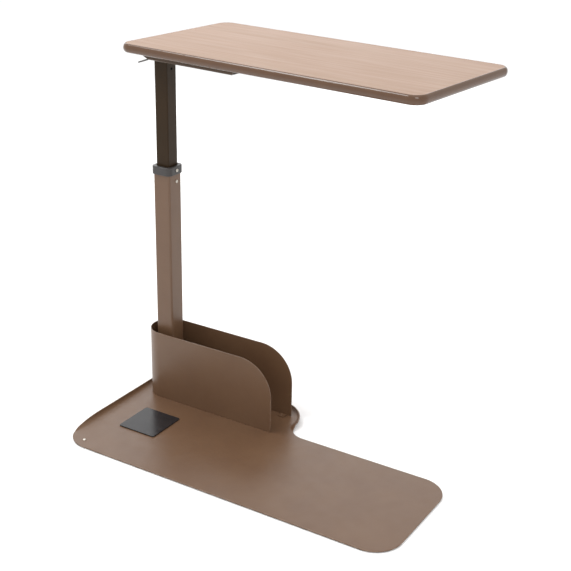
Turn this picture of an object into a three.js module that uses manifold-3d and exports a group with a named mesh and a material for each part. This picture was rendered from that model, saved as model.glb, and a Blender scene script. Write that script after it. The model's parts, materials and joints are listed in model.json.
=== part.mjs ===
// Overbed table for a lift chair: a sheet-steel base that slides under the chair, a telescoping square mast
// with a one-way friction lock, a magazine pocket round its foot, and a top that swivels on the mast.
// Millimetres, +Z up. The origin is on the floor under the mast's axis, +X runs along the base's long side
// and -Y is the long straight edge that goes under the chair.

import * as THREE from 'three';
import { mergeVertices } from 'three/addons/utils/BufferGeometryUtils.js';
import Module from 'manifold-3d';

const wasm = await Module();
wasm.setup();

// ---------------------------------------------------------------- driving dimensions

const GAP = 0.3; // clearance between pieces that touch
const DEGREE = Math.PI / 180;

// base
const GLIDE_THICKNESS = 2;
const SHEET = 2.5; // base sheet thickness
const BASE_BOTTOM = GLIDE_THICKNESS;
const BASE_TOP = BASE_BOTTOM + SHEET;
const BASE_LEFT = -65;
const BASE_RIGHT = 774;
const BASE_FRONT = -335;
const BASE_BACK = 86; // back edge of the wide end, behind the mast
const NARROW_BACK = -29; // back edge of the narrow end
const NOTCH_LEFT = 349; // where the narrow end meets the wide end
const NOTCH_RADIUS = 48;
const BASE_CORNER = { front: 65, right: 64, backLeft: 60, back: 91 }; // plan radii
const BACK_CORNER_X = 270; // centre of the rounded corner before the notch
const RIM_RADIUS = 15.5; // outer radius of the turned-up edge
const RIM_ANGLE = 83 * DEGREE;
const RIM_RUN_OUT = { start: 40, end: 130 }; // from the front edge, where the left rim begins and is full
const LEG_PAD = { left: 8, right: 109, front: -216, back: -112, corner: 5, thickness: 2.5 };
const GLIDE_RADIUS = 12;
const FOOT_PAD = { half: 42, corner: 4 };
const RIVET_SHANK = 2;

// pocket
const POCKET_RADIUS = 47.5;
const POCKET_RIGHT = 321;
const POCKET_TOP = 177;
const POCKET_SHEET = 1.5;
const POCKET_CORNER = 86;
const POCKET_TAB = { halfWidth: 9, reach: 8 }; // reach is how far it runs past its rivet

// mast
const FLANGE = { radius: 44, thickness: 5, boltCircle: 34, bolt: 3, boltHead: 5.9 };
const OUTER_TUBE = { half: 23, wall: 2, corner: 5, top: 582 };
const COLLAR = { half: 27.5, corner: 12, bottom: 567, top: 586.5 };
const COLLAR_SCREW_Z = 577;
const GUIDE_SCREW = { y: 4, z: 549 };
const INNER_TUBE = { half: 17.5, wall: 2, corner: 3, bottom: 440, top: 831.5 };
const TUBE_CLEARANCE = 0.5;
const LIFT_UP = 30;
const SIDE_SCREW = { shank: 2, head: 4, height: 2.2 };
const SIDE_SCREW_HOLE = SIDE_SCREW.shank + GAP;
const BUSH_BOTTOM = INNER_TUBE.bottom + LIFT_UP + GAP;
const PLUG_SCREW = { radius: 3, z: 810 };
const PLUG_BOTTOM = 797;
const ROD_GUIDE = { bottom: 640, top: 650 };

// friction lock at the foot of the inner tube
const LOCK_ROD = { x: 8, radius: 3, top: 540 };
const HOUSING_FLOOR = INNER_TUBE.bottom + 16;
const PLATE = { thickness: 2, halfWidth: 12, left: -13, right: 12.7, tilt: 10 * DEGREE };
const FULCRUM = { x: 13.5, z: INNER_TUBE.bottom + 33 };
const RELEASE_ROD = { radius: 2, bottom: INNER_TUBE.bottom + 38, top: 846.9 };

// top
const TOP_SURFACE = 872;
const TOP_THICKNESS = 19.4;
const TOP_LENGTH = 765;
const TOP_WIDTH = 368.5;
const TOP_LEFT = -54; // left edge from the mast's axis, along the top
const TOP_FRONT = -93; // front edge from the mast's axis, across the top
const TOP_CORNER = 30;
const TOP_SWIVEL = -5.24 * DEGREE; // how far the top is swivelled as it stands
const LAMINATE = 0.8;
const BACKER = 0.6;
const BAND_DEPTH = 6; // how far the rounded edge stands out from the core
const BARB = { depth: 9, halfHeight: 1 };
const UNDERSIDE = TOP_SURFACE - TOP_THICKNESS;

// swivel bracket and release lever
const BRACKET = { left: -18, right: 226, halfWidth: 46, flange: 15, depth: 19.5, sheet: 2.5, slant: 16 };
const WEB_BOTTOM = UNDERSIDE - BRACKET.depth;
// the bracket's left end: its side walls start at cheek and are cut back below, and its web is a narrow nose
const BRACKET_END = { cheek: -22, cheekBottom: WEB_BOTTOM + 7, web: -3, noseHalf: 20 };
const WEB_TOP = WEB_BOTTOM + BRACKET.sheet;
const POST = { radius: 9, bore: 2.6, top: 843.5, collar: 14 };
const LEVER = { pinX: -17, pinZ: 846, armEnd: 4, halfWidth: 9, sheet: 3, knuckle: 4.2 };
const LEVER_BEND = { x: -44, drop: 20.2 }; // where the handle turns shallower, below the pin
const LEVER_TIP = { x: -76, drop: 32 };
const PIN_RADIUS = 2;
const WOOD_SCREW = { places: [20, 110, 200], shank: 2, head: 4.2, height: 2.2, tip: UNDERSIDE + 12 };

// ---------------------------------------------------------------- materials

const material = (color, roughness, metalness = 0) =>
  new THREE.MeshStandardMaterial({ color, roughness, metalness });

const powderCoat = material(0x8a7462, 0.42, 0.1);
const darkPowderCoat = material(0x44372a, 0.45, 0.1);
const greyPlastic = material(0x504e4e, 0.5);
const nylon = material(0xe6e1d6, 0.5);
const rubber = material(0x35373a, 0.8);
const zinc = material(0xc2c0ba, 0.35, 0.9);
const darkSteel = material(0x3b3936, 0.45, 0.9);
const laminate = material(0xd2b8a5, 0.4);
const edging = material(0x785c4a, 0.35);
const chipboard = material(0xc2a272, 0.85);
const backing = material(0x8c7561, 0.6);

// ---------------------------------------------------------------- solids

const table = new THREE.Group();

function addTo(group, name, geometry, finish) {
  const mesh = new THREE.Mesh(geometry, finish);
  mesh.name = name;
  group.add(mesh);
}

// A closed geometry with only positions, shared vertices, no empty triangles and its faces pointing out.
function closed(geometry) {
  const plain = geometry.clone();
  plain.deleteAttribute('normal');
  plain.deleteAttribute('uv');
  const merged = mergeVertices(plain, 1e-4);
  const triangles = [];
  const corner = [new THREE.Vector3(), new THREE.Vector3(), new THREE.Vector3()];
  let volume = 0;
  for (let i = 0; i < merged.index.count; i += 3) {
    const ids = [0, 1, 2].map((k) => merged.index.getX(i + k));
    if (new Set(ids).size === 3) {
      ids.forEach((id, k) => corner[k].fromBufferAttribute(merged.attributes.position, id));
      volume += corner[0].dot(corner[1].clone().cross(corner[2]));
      triangles.push(ids);
    }
  }
  if (volume < 0) triangles.forEach((ids) => ids.reverse());
  merged.setIndex(triangles.flat());
  return merged;
}

function toManifold(geometry) {
  const merged = closed(geometry);
  const mesh = new wasm.Mesh({
    numProp: 3,
    vertProperties: merged.attributes.position.array,
    triVerts: new Uint32Array(merged.index.array),
  });
  return new wasm.Manifold(mesh);
}

function toGeometry(manifold) {
  const mesh = manifold.getMesh();
  const geometry = new THREE.BufferGeometry();
  geometry.setAttribute('position', new THREE.Float32BufferAttribute(mesh.vertProperties, 3));
  geometry.setIndex(new THREE.Uint32BufferAttribute(mesh.triVerts, 1));
  return geometry;
}

const cut = (body, ...tools) =>
  toGeometry(tools.reduce((solid, tool) => solid.subtract(toManifold(tool)), toManifold(body)));

const join = (...bodies) =>
  toGeometry(bodies.slice(1).reduce((solid, body) => solid.add(toManifold(body)), toManifold(bodies[0])));

const common = (body, tool) => toGeometry(toManifold(body).intersect(toManifold(tool)));

function block(x0, x1, y0, y1, z0, z1) {
  const geometry = new THREE.BoxGeometry(x1 - x0, y1 - y0, z1 - z0);
  return geometry.translate((x0 + x1) / 2, (y0 + y1) / 2, (z0 + z1) / 2);
}

function disc(radius, z0, z1, x = 0, y = 0, segments = 16) {
  const geometry = new THREE.CylinderGeometry(radius, radius, z1 - z0, segments);
  return geometry.rotateX(90 * DEGREE).translate(x, y, (z0 + z1) / 2);
}

// A round bar along X from x0 to x1.
function barX(radius, x0, x1, y, z, segments = 12) {
  const geometry = new THREE.CylinderGeometry(radius, radius, x1 - x0, segments);
  return geometry.rotateZ(90 * DEGREE).translate((x0 + x1) / 2, y, z);
}

// A round bar along Y from y0 to y1.
function barY(radius, y0, y1, x, z, segments = 12) {
  const geometry = new THREE.CylinderGeometry(radius, radius, y1 - y0, segments);
  return geometry.translate(x, (y0 + y1) / 2, z);
}

// A solid turned about Z from a profile of [radius, z] points that starts and ends on the axis.
function turned(profile, segments = 12) {
  const points = profile.map(([radius, z]) => new THREE.Vector2(radius, z));
  return new THREE.LatheGeometry(points, segments).rotateX(90 * DEGREE);
}

function roundedRectangle(x0, x1, y0, y1, radius) {
  const shape = new THREE.Shape();
  shape.absarc(x1 - radius, y0 + radius, radius, -90 * DEGREE, 0);
  shape.absarc(x1 - radius, y1 - radius, radius, 0, 90 * DEGREE);
  shape.absarc(x0 + radius, y1 - radius, radius, 90 * DEGREE, 180 * DEGREE);
  shape.absarc(x0 + radius, y0 + radius, radius, 180 * DEGREE, 270 * DEGREE);
  shape.closePath();
  return shape;
}

const roundedSquare = (half, radius) => roundedRectangle(-half, half, -half, half, radius);

function prism(shape, z0, z1, curveSegments = 3) {
  const geometry = new THREE.ExtrudeGeometry(shape, { depth: z1 - z0, bevelEnabled: false, curveSegments });
  return geometry.translate(0, 0, z0);
}

// A shape drawn in the XZ plane and extruded along Y from y0 to y1.
function sidePrism(shape, y0, y1, curveSegments = 8) {
  const geometry = new THREE.ExtrudeGeometry(shape, { depth: y1 - y0, bevelEnabled: false, curveSegments });
  return geometry.rotateX(90 * DEGREE).translate(0, y1, 0);
}

function squareTube({ half, wall, corner }, z0, z1) {
  const shape = roundedSquare(half, corner);
  shape.holes.push(roundedSquare(half - wall, corner - wall / 2));
  return prism(shape, z0, z1);
}

// A closed solid from rings of equal length, capped at both ends. Each ring is a list of [x, y, z].
function loft(rings) {
  const count = rings[0].length;
  const triangles = [];
  for (let ring = 0; ring < rings.length - 1; ring += 1) {
    for (let i = 0; i < count; i += 1) {
      const a = ring * count + i;
      const b = ring * count + ((i + 1) % count);
      triangles.push(a, b, b + count, a, b + count, a + count);
    }
  }
  const cap = (ring) => {
    const flat = ring.map(([x, y]) => new THREE.Vector2(x, y));
    return THREE.ShapeUtils.triangulateShape(flat, []);
  };
  const last = (rings.length - 1) * count;
  cap(rings[0]).forEach(([a, b, c]) => triangles.push(a, c, b));
  cap(rings.at(-1)).forEach(([a, b, c]) => triangles.push(last + a, last + b, last + c));
  const geometry = new THREE.BufferGeometry();
  geometry.setAttribute('position', new THREE.Float32BufferAttribute(rings.flat(2), 3));
  geometry.setIndex(triangles);
  return closed(geometry);
}

// ---------------------------------------------------------------- base

// The base's outline, anticlockwise from above. rise is 1 where the edge is turned up to the full rim and 0
// where the sheet runs out flat.
function baseOutline() {
  const points = [];
  const arc = (cx, cy, radiusAt, from, to, steps, riseAt) => {
    for (let i = 0; i <= steps; i += 1) {
      const share = i / steps;
      const angle = (from + (to - from) * share) * DEGREE;
      const rise = riseAt(share);
      const radius = radiusAt(rise);
      points.push({ x: cx + radius * Math.cos(angle), y: cy + radius * Math.sin(angle), rise });
    }
  };
  const flat = () => 0;
  const full = () => 1;
  // the rim of the left side runs out over the front corner, quickly at first and then slower
  const leftRise = (fromFront) => {
    const run = THREE.MathUtils.inverseLerp(RIM_RUN_OUT.start, RIM_RUN_OUT.end, fromFront);
    const height = 1 - (1 - THREE.MathUtils.clamp(run, 0, 1)) ** 2;
    return Math.acos(1 - height * (1 - Math.cos(RIM_ANGLE))) / RIM_ANGLE;
  };
  const { front, right, backLeft, back } = BASE_CORNER;
  const backY = BASE_BACK - back;
  const neckY = NARROW_BACK + NOTCH_RADIUS;
  const neckAngle = Math.asin((neckY - backY) / back);
  const flare = BACK_CORNER_X + back * Math.cos(neckAngle) - NOTCH_LEFT;
  arc(BASE_RIGHT - right, BASE_FRONT + right, () => right, -90, 0, 8, flat);
  arc(BASE_RIGHT - right, NARROW_BACK - right, () => right, 0, 90, 8, flat);
  const fade = (share) => THREE.MathUtils.smoothstep(share, 0.35, 1);
  arc(NOTCH_LEFT + NOTCH_RADIUS, neckY, (rise) => NOTCH_RADIUS - flare * rise, 270, 180, 12, fade);
  const pastNeck = 6; // degrees
  arc(BACK_CORNER_X, backY, () => back, neckAngle / DEGREE + pastNeck, 90, 10, full);
  arc(BASE_LEFT + backLeft, BASE_BACK - backLeft, () => backLeft, 90, 180, 9, full);
  const straightSteps = 5;
  for (let i = 0; i < straightSteps; i += 1) {
    const fromFront = THREE.MathUtils.lerp(RIM_RUN_OUT.end, front, i / straightSteps);
    points.push({ x: BASE_LEFT, y: BASE_FRONT + fromFront, rise: leftRise(fromFront) });
  }
  arc(BASE_LEFT + front, BASE_FRONT + front, () => front, 180, 270, 11, (share) =>
    leftRise(front * (1 - Math.sin(share * 90 * DEGREE))));
  return points;
}

// Unit vectors pointing into the sheet at each point of a closed outline that runs anticlockwise.
function inwardNormals(points) {
  return points.map((point, i) => {
    const next = points[(i + 1) % points.length];
    const previous = points.at(i - 1);
    const length = Math.hypot(next.x - previous.x, next.y - previous.y);
    return { x: (previous.y - next.y) / length, y: (next.x - previous.x) / length };
  });
}

function baseSheet() {
  const outline = baseOutline();
  const inward = inwardNormals(outline);
  const steps = 4;
  // offset from the outline and height of the sheet's underside or upper side, at one step of the bend
  const ring = (step, thickness) =>
    outline.map(({ x, y, rise }, i) => {
      const bend = RIM_ANGLE * rise;
      const angle = (bend * step) / steps;
      const offset = RIM_RADIUS * (Math.sin(bend) - Math.sin(angle)) + thickness * Math.sin(angle);
      const height = RIM_RADIUS * (1 - Math.cos(angle)) + thickness * Math.cos(angle);
      return [x + inward[i].x * offset, y + inward[i].y * offset, BASE_BOTTOM + height];
    });
  const under = Array.from({ length: steps + 1 }, (_, step) => ring(step, 0));
  const upper = Array.from({ length: steps + 1 }, (_, step) => ring(steps - step, SHEET));
  return loft([...under, ...upper]);
}

const glidePlaces = [
  [-16.5, -310],
  [-24, 58],
  [352, -306],
  [738, -298],
  [738, -66],
];
const rivetedGlides = 2; // the glides at the rimmed end are riveted, the rest are stuck on

const pocketRivetPlaces = [
  [70, -38],
  [300, -38],
  [70, 38],
  [300, 38],
];

const flangeBoltPlaces = [0, 90, 180, 270].map((angle) =>
  [FLANGE.boltCircle * Math.cos(angle * DEGREE), FLANGE.boltCircle * Math.sin(angle * DEGREE)]);

function addBase() {
  const sink = [FLANGE.boltHead + 0.4, FLANGE.bolt + 0.4]; // radii of a countersunk hole
  const above = BASE_TOP + 4;
  const boltHoles = flangeBoltPlaces.map(([x, y]) =>
    turned([
      [0, -1],
      [sink[0], -1],
      [sink[0], BASE_BOTTOM],
      [sink[1], BASE_TOP - 0.2],
      [sink[1], above],
      [0, above],
    ]).translate(x, y, 0));
  const rivetPlaces = [...glidePlaces.slice(0, rivetedGlides), ...pocketRivetPlaces];
  const rivetHoles = rivetPlaces.map(([x, y]) => rivetHole(x, y));
  addTo(table, 'base_plate', cut(baseSheet(), ...boltHoles, ...rivetHoles), powderCoat);

  const padTop = BASE_BOTTOM - GAP;
  addTo(table, 'mast_foot_pad', prism(roundedSquare(FOOT_PAD.half, FOOT_PAD.corner), 0, padTop), rubber);
  glidePlaces.forEach(([x, y], i) => {
    const edge = 0.6;
    const rim = [[GLIDE_RADIUS - edge, 0], [GLIDE_RADIUS, edge], [GLIDE_RADIUS, padTop]];
    const glide = turned([[0, 0], ...rim, [0, padTop]]).translate(x, y, 0);
    const riveted = i < rivetedGlides;
    const tailRecess = disc(4.2, 0.5, BASE_TOP, x, y);
    const geometry = riveted ? cut(glide, tailRecess, rivetHole(x, y)) : glide;
    addTo(table, `glide_${i + 1}`, geometry, nylon);
    if (riveted) addTo(table, `glide_rivet_${i + 1}`, rivet(BASE_TOP).translate(x, y, 0), zinc);
  });

  const pad = LEG_PAD;
  const padShape = roundedRectangle(pad.left, pad.right, pad.front, pad.back, pad.corner);
  addTo(table, 'leg_pad', prism(padShape, BASE_TOP + GAP, BASE_TOP + GAP + pad.thickness), rubber);
}

const rivetHole = (x, y) => disc(RIVET_SHANK + GAP, -1, 10, x, y, 12);

// A domed rivet that clamps the base, and what lies on it, up to the surface under its head.
function rivet(surface) {
  const clearance = 0.15;
  const tailBottom = 0.8;
  const seat = surface + clearance;
  const head = [[3.8, seat], [3.4, surface + 1.1], [2.2, surface + 1.8], [0, surface + 2.1]];
  const tailTop = BASE_BOTTOM - clearance;
  const tail = [[0, tailBottom], [3.3, tailBottom], [3.3, tailTop], [RIVET_SHANK, tailTop]];
  return turned([...tail, [RIVET_SHANK, seat], ...head]);
}

// ---------------------------------------------------------------- pocket

function addPocket() {
  const outer = POCKET_RADIUS;
  const inner = outer - POCKET_SHEET;
  const foot = BASE_TOP + GAP;
  const plan = new THREE.Shape();
  plan.moveTo(POCKET_RIGHT, -outer);
  plan.lineTo(0, -outer);
  plan.absarc(0, 0, outer, -90 * DEGREE, 90 * DEGREE, true);
  plan.lineTo(POCKET_RIGHT, outer);
  plan.lineTo(POCKET_RIGHT, inner);
  plan.lineTo(0, inner);
  plan.absarc(0, 0, inner, 90 * DEGREE, -90 * DEGREE, false);
  plan.lineTo(POCKET_RIGHT, -inner);
  plan.closePath();

  const side = new THREE.Shape();
  side.moveTo(-outer - 1, 0);
  side.lineTo(POCKET_RIGHT, 0);
  side.absarc(POCKET_RIGHT - POCKET_CORNER, POCKET_TOP - POCKET_CORNER, POCKET_CORNER, 0, 90 * DEGREE);
  side.lineTo(-outer - 1, POCKET_TOP);
  side.closePath();

  const wall = common(prism(plan, foot, POCKET_TOP + 1, 9), sidePrism(side, -outer - 1, outer + 1, 10));
  const tabs = pocketRivetPlaces.map(([x, y]) => {
    const edge = Math.sign(y) * (inner + POCKET_SHEET / 2);
    const tip = y - Math.sign(y) * POCKET_TAB.reach;
    const half = POCKET_TAB.halfWidth;
    return block(x - half, x + half, Math.min(edge, tip), Math.max(edge, tip), foot, foot + POCKET_SHEET);
  });
  const holes = pocketRivetPlaces.map(([x, y]) => rivetHole(x, y));
  addTo(table, 'pocket_shell', cut(join(wall, ...tabs), ...holes), powderCoat);
  pocketRivetPlaces.forEach(([x, y], i) => {
    addTo(table, `pocket_rivet_${i + 1}`, rivet(foot + POCKET_SHEET).translate(x, y, 0), powderCoat);
  });
}

// ---------------------------------------------------------------- fixed mast

const hexagon = (radius, z0, z1, x = 0) => disc(radius, z0, z1, x, 0, 6);

function addOuterMast() {
  const flangeBottom = BASE_TOP + GAP;
  const flangeTop = flangeBottom + FLANGE.thickness;
  const boltHoles = flangeBoltPlaces.map(([x, y]) => disc(FLANGE.bolt + GAP, 0, 20, x, y, 12));
  const rodHole = disc(LOCK_ROD.radius + GAP, 0, 20, LOCK_ROD.x, 0);
  const flange = disc(FLANGE.radius, flangeBottom, flangeTop, 0, 0, 32);
  addTo(table, 'mast_flange', cut(flange, ...boltHoles, rodHole), darkSteel);
  flangeBoltPlaces.forEach(([x, y], i) => {
    const head = [[0, BASE_BOTTOM], [FLANGE.boltHead, BASE_BOTTOM], [FLANGE.bolt, BASE_TOP - GAP]];
    const bolt = turned([...head, [FLANGE.bolt, flangeTop], [0, flangeTop]]).translate(x, y, 0);
    addTo(table, `flange_bolt_${i + 1}`, bolt, zinc);
  });

  const tube = OUTER_TUBE;
  const tubeBore = tube.half - tube.wall;
  const screwHoles = [
    barX(SIDE_SCREW_HOLE, tubeBore - 2, tube.half + 2, 0, COLLAR_SCREW_Z),
    barX(SIDE_SCREW_HOLE, tubeBore - 2, tube.half + 2, GUIDE_SCREW.y, GUIDE_SCREW.z),
  ];
  addTo(table, 'outer_tube', cut(squareTube(tube, flangeTop + GAP, tube.top), ...screwHoles), powderCoat);

  const bushOuter = tubeBore - GAP;
  const bushInner = INNER_TUBE.half + TUBE_CLEARANCE;
  const bush = { half: bushOuter, wall: bushOuter - bushInner, corner: 3 };
  const bushHole = barX(SIDE_SCREW_HOLE, bushInner - 2, bushOuter + 2, GUIDE_SCREW.y, GUIDE_SCREW.z);
  addTo(table, 'upper_bush', cut(squareTube(bush, BUSH_BOTTOM, tube.top - 1), bushHole), nylon);

  const skirtBore = prism(roundedSquare(tube.half + GAP, tube.corner), COLLAR.bottom - 1, tube.top + GAP);
  const mouth = prism(roundedSquare(bushInner + 0.2, 3), COLLAR.bottom, COLLAR.top + 1);
  const collarScrewHole = barX(SIDE_SCREW_HOLE, tube.half, COLLAR.half + 1, 0, COLLAR_SCREW_Z);
  const collar = prism(roundedSquare(COLLAR.half, COLLAR.corner), COLLAR.bottom, COLLAR.top);
  addTo(table, 'collar', cut(collar, skirtBore, mouth, collarScrewHole), greyPlastic);
  addTo(table, 'collar_screw', sideScrew(COLLAR.half, bushOuter + GAP, 0, COLLAR_SCREW_Z), zinc);
  addTo(table, 'guide_screw', sideScrew(tube.half, bushInner + GAP, GUIDE_SCREW.y, GUIDE_SCREW.z), zinc);
}

// A domed screw in a face that looks along +X: its head stands on the face and its shank runs in to xTip.
function sideScrew(xFace, xTip, y, z) {
  const seat = xFace + 0.15;
  const { shank, head, height } = SIDE_SCREW;
  const crown = [[head, seat], [head - 0.2, seat + 1], [head - 1.4, seat + 1.8], [0, seat + height]];
  const screw = turned([[0, xTip], [shank, xTip], [shank, seat], ...crown]);
  return screw.rotateY(90 * DEGREE).translate(0, y, z);
}

function addLockRod() {
  const flangeBottom = BASE_TOP + GAP;
  const nutBottom = flangeBottom + FLANGE.thickness + GAP;
  const rod = turned([
    [0, flangeBottom],
    [LOCK_ROD.radius, flangeBottom],
    [LOCK_ROD.radius, LOCK_ROD.top - 1],
    [LOCK_ROD.radius - 1, LOCK_ROD.top],
    [0, LOCK_ROD.top],
  ]);
  addTo(table, 'lock_rod', rod.translate(LOCK_ROD.x, 0, 0), zinc);
  const nutBore = disc(LOCK_ROD.radius + GAP, nutBottom - 1, nutBottom + 9, LOCK_ROD.x, 0);
  addTo(table, 'lock_rod_nut', cut(hexagon(5.8, nutBottom, nutBottom + 5, LOCK_ROD.x), nutBore), zinc);
}

// ---------------------------------------------------------------- sliding mast

const rodPassage = (z0, z1) => disc(LOCK_ROD.radius + 1, z0, z1, LOCK_ROD.x, 0);

function addInnerMast() {
  const tube = INNER_TUBE;
  const bore = tube.half - tube.wall - GAP;
  const plugHole = barX(PLUG_SCREW.radius + GAP, tube.half - 5, tube.half + 2, 0, PLUG_SCREW.z);
  addTo(table, 'inner_tube', cut(squareTube(tube, tube.bottom, tube.top), plugHole), darkPowderCoat);

  const shoeHalf = OUTER_TUBE.half - OUTER_TUBE.wall - GAP;
  const shoe = join(
    prism(roundedSquare(shoeHalf, 3), tube.bottom - 12, tube.bottom - GAP),
    prism(roundedSquare(bore, 1.5), tube.bottom - GAP, tube.bottom + 12),
  );
  addTo(table, 'lower_shoe', cut(shoe, rodPassage(tube.bottom - 20, tube.bottom + 20)), nylon);

  const guideEnds = [ROD_GUIDE.bottom - 5, ROD_GUIDE.top + 5];
  const guide = prism(roundedSquare(bore, 1.5), ROD_GUIDE.bottom, ROD_GUIDE.top);
  const guideBore = disc(RELEASE_ROD.radius + GAP, ...guideEnds);
  addTo(table, 'release_rod_guide', cut(guide, guideBore, rodPassage(...guideEnds)), nylon);

  const plug = prism(roundedSquare(bore, 1.5), PLUG_BOTTOM, tube.top - GAP);
  const screwBore = barX(PLUG_SCREW.radius + GAP, POST.radius - 1, tube.half, 0, PLUG_SCREW.z);
  const postBore = disc(POST.radius + GAP, PLUG_BOTTOM - 5, tube.top + 5);
  addTo(table, 'top_plug', cut(plug, postBore, screwBore), darkSteel);
  const recessed = tube.half - 0.8;
  const plugScrew = barX(PLUG_SCREW.radius, POST.radius + GAP, recessed, 0, PLUG_SCREW.z);
  addTo(table, 'plug_screw', plugScrew, darkSteel);

  const postBottom = PLUG_BOTTOM - 4;
  const collarTop = PLUG_BOTTOM - GAP;
  const post = turned([
    [POST.bore, postBottom],
    [POST.collar, postBottom],
    [POST.collar, collarTop],
    [POST.radius, collarTop],
    [POST.radius, POST.top],
    [POST.bore, POST.top],
    [POST.bore, postBottom],
  ], 20);
  addTo(table, 'pivot_post', post, zinc);
  addTo(table, 'swivel_washer', cut(disc(17, tube.top + GAP, WEB_BOTTOM - GAP, 0, 0, 20),
    disc(POST.radius + GAP, tube.top - 1, WEB_BOTTOM + 1, 0, 0, 20)), nylon);
}

// ---------------------------------------------------------------- friction lock

// The plates lie flat when the lock is released and tilt up about the fulcrum to bite on the lock rod.
function lockPlate(index) {
  const bottom = (index - 1) * (PLATE.thickness + GAP) - PLATE.thickness - GAP / 2;
  const top = bottom + PLATE.thickness;
  const plate = join(
    block(PLATE.left - FULCRUM.x, PLATE.right - FULCRUM.x, -PLATE.halfWidth, PLATE.halfWidth, bottom, top),
    block(PLATE.right - FULCRUM.x - 1, 1.2, -5, 5, bottom, top),
  );
  const hole = disc(LOCK_ROD.radius + 0.7, -10, 10, LOCK_ROD.x - FULCRUM.x, 0);
  return cut(plate, hole).rotateY(PLATE.tilt).translate(FULCRUM.x, 0, FULCRUM.z);
}

class Helix extends THREE.Curve {
  constructor(radius, z0, z1, turns) {
    super();
    Object.assign(this, { radius, z0, z1, turns });
  }

  getPoint(t, target = new THREE.Vector3()) {
    const angle = t * this.turns * 2 * Math.PI;
    const z = this.z0 + (this.z1 - this.z0) * t;
    return target.set(this.radius * Math.cos(angle), this.radius * Math.sin(angle), z);
  }
}

function coilSpring({ radius, wire, z0, z1, turns }) {
  const section = new THREE.Shape();
  section.absarc(0, 0, wire / 2, 0, 2 * Math.PI);
  const path = new Helix(radius, z0 + wire / 2, z1 - wire / 2, turns);
  const settings = { steps: turns * 12, curveSegments: 3, bevelEnabled: false, extrudePath: path };
  return new THREE.ExtrudeGeometry(section, settings);
}

function addLock() {
  const bore = INNER_TUBE.half - INNER_TUBE.wall - GAP;
  const floor = HOUSING_FLOOR;
  const housing = join(
    block(-bore, bore, -14, 14, floor, floor + 3),
    block(FULCRUM.x, bore, -14, 14, floor, floor + 32),
  );
  const slot = block(FULCRUM.x - 1, bore + 1, -6, 6, FULCRUM.z - 3.2, FULCRUM.z + 3.2);
  addTo(table, 'lock_housing', cut(housing, slot, rodPassage(floor - 5, floor + 10)), darkSteel);
  addTo(table, 'lock_plate_lower', lockPlate(1), darkSteel);
  addTo(table, 'lock_plate_upper', lockPlate(2), darkSteel);

  const springX = -8.5;
  const reach = (FULCRUM.x - springX) * Math.tan(PLATE.tilt);
  const springTop = FULCRUM.z - PLATE.thickness + reach - 1.4;
  const spring = coilSpring({ radius: 3.4, wire: 1, z0: floor + 3 + GAP, z1: springTop, turns: 4 });
  addTo(table, 'lock_spring', spring.translate(springX, 0, 0), zinc);

  const { radius, bottom, top } = RELEASE_ROD;
  const dome = (z, side) => [15, 45, 75].map((angle) =>
    [radius * Math.cos(angle * DEGREE), z + side * radius * Math.sin(angle * DEGREE)]);
  const profile = [[0, bottom], ...dome(bottom + radius, -1).reverse(), ...dome(top - radius, 1), [0, top]];
  addTo(table, 'release_rod', turned(profile), zinc);
}

// ---------------------------------------------------------------- swivelling top

const swivelled = new THREE.Group();
swivelled.rotation.z = TOP_SWIVEL;
table.add(swivelled);

// The top's outline moved in by inset, at height z, anticlockwise from above.
function topRing(inset, z) {
  const radius = TOP_CORNER - inset;
  const right = TOP_LEFT + TOP_LENGTH - TOP_CORNER;
  const back = TOP_FRONT + TOP_WIDTH - TOP_CORNER;
  const left = TOP_LEFT + TOP_CORNER;
  const front = TOP_FRONT + TOP_CORNER;
  const corners = [[right, front, -90], [right, back, 0], [left, back, 90], [left, front, 180]];
  const steps = 6;
  return corners.flatMap(([x, y, from]) =>
    Array.from({ length: steps + 1 }, (_, i) => {
      const angle = (from + (90 * i) / steps) * DEGREE;
      return [x + radius * Math.cos(angle), y + radius * Math.sin(angle), z];
    }));
}

// A closed band round the top from a section of [inset, z] points, listed anticlockwise as seen with the
// outside of the top to the right.
function bandRound(section) {
  const rings = section.map(([inset, z]) => topRing(inset, z));
  const count = rings[0].length;
  const triangles = [];
  rings.forEach((_, ring) => {
    const next = (ring + 1) % rings.length;
    for (let i = 0; i < count; i += 1) {
      const j = (i + 1) % count;
      const [a, b] = [ring * count + i, ring * count + j];
      const [c, d] = [next * count + j, next * count + i];
      triangles.push(a, b, c, a, c, d);
    }
  });
  const geometry = new THREE.BufferGeometry();
  geometry.setAttribute('position', new THREE.Float32BufferAttribute(rings.flat(2), 3));
  geometry.setIndex(triangles);
  return closed(geometry);
}

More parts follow.
